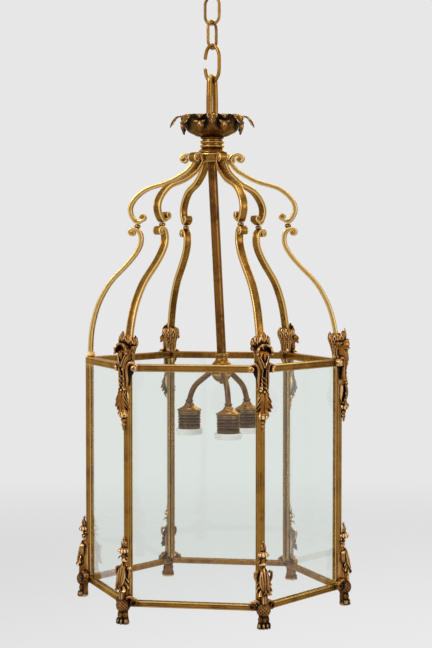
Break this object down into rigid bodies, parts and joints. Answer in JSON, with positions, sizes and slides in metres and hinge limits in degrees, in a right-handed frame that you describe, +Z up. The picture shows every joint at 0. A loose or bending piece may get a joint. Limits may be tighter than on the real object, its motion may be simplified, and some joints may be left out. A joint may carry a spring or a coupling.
{
  "type": "hexagonal hanging lantern",
  "caption": "Hexagonal glazed hanging lantern in gilt brass with scroll arms, leaf mounts, a lamp cluster and a short suspension chain.",
  "frame": {"origin": "where the top chain link bears on the hook or ring it hangs from, on the lantern's axis", "axes": "Z up along the axis, -Y towards the front pane, +X towards the right corner"},
  "size_m": [0.4406, 0.3868, 0.9548],
  "materials": {
    "gilt_brass": "aged gilding, dark brown in the recesses and bright on the edges",
    "bronzed_brass": "dull brown bronzed sheet",
    "clear_glass": "clear, polished, with bevelled edges",
    "white_porcelain": "white glaze"
  },
  "bodies": {
    "upper_link": {"chain_link_upper": "gilt_brass"},
    "lower_link": {"chain_link_lower": "gilt_brass"},
    "hook": {"open_hook_link": "gilt_brass"},
    "lantern": {"suspension_loop": "gilt_brass", "leaf_crown": "gilt_brass", "central_tube": "gilt_brass", "hub": "gilt_brass", "top_frame": "gilt_brass", "bottom_frame": "gilt_brass", "glass_pane_front": "clear_glass", "glass_pane_front_right": "clear_glass", "glass_pane_back_right": "clear_glass", "glass_pane_back": "clear_glass", "glass_pane_back_left": "clear_glass", "glass_pane_front_left": "clear_glass", "upper_scroll_right": "gilt_brass", "upper_scroll_back_right": "gilt_brass", "upper_scroll_back_left": "gilt_brass", "upper_scroll_left": "gilt_brass", "upper_scroll_front_left": "gilt_brass", "upper_scroll_front_right": "gilt_brass", "lower_scroll_right": "gilt_brass", "lower_scroll_back_right": "gilt_brass", "lower_scroll_back_left": "gilt_brass", "lower_scroll_left": "gilt_brass", "lower_scroll_front_left": "gilt_brass", "lower_scroll_front_right": "gilt_brass", "corner_post_right": "gilt_brass", "corner_post_back_right": "gilt_brass", "corner_post_back_left": "gilt_brass", "corner_post_left": "gilt_brass", "corner_post_front_left": "gilt_brass", "corner_post_front_right": "gilt_brass", "upper_mount_right": "gilt_brass", "upper_mount_back_right": "gilt_brass", "upper_mount_back_left": "gilt_brass", "upper_mount_front_left": "gilt_brass", "upper_mount_front_right": "gilt_brass", "lower_mount_right": "gilt_brass", "lower_mount_back_right": "gilt_brass", "lower_mount_back_left": "gilt_brass", "lower_mount_left": "gilt_brass", "lower_mount_front_left": "gilt_brass", "lower_mount_front_right": "gilt_brass", "cluster_body": "gilt_brass", "lamp_arm_1": "gilt_brass", "lamp_arm_2": "gilt_brass", "lamp_arm_3": "gilt_brass", "holder_cap_1": "gilt_brass", "holder_cap_2": "gilt_brass", "holder_cap_3": "gilt_brass", "holder_shell_1": "bronzed_brass", "holder_shell_2": "bronzed_brass", "holder_shell_3": "bronzed_brass", "holder_insert_1": "white_porcelain", "holder_insert_2": "white_porcelain", "holder_insert_3": "white_porcelain", "porcelain_ring_1": "white_porcelain", "porcelain_ring_2": "white_porcelain", "porcelain_ring_3": "white_porcelain"}
  },
  "joints": [
    {"name": "lower_link_swing", "type": "hinge", "parent": "upper_link", "child": "lower_link", "pos_m": [0, 0, -0.04075], "axis": [0.9336, -0.3584, 0], "range_deg": [-30, 30]},
    {"name": "hook_swing", "type": "hinge", "parent": "lower_link", "child": "hook", "pos_m": [0, 0, -0.07875], "axis": [0.3584, 0.9336, 0], "range_deg": [-30, 30]},
    {"name": "lantern_swing", "type": "hinge", "parent": "hook", "child": "lantern", "pos_m": [0, 0, -0.13075], "axis": [0.9336, -0.3584, 0], "range_deg": [-30, 30]}
  ]
}
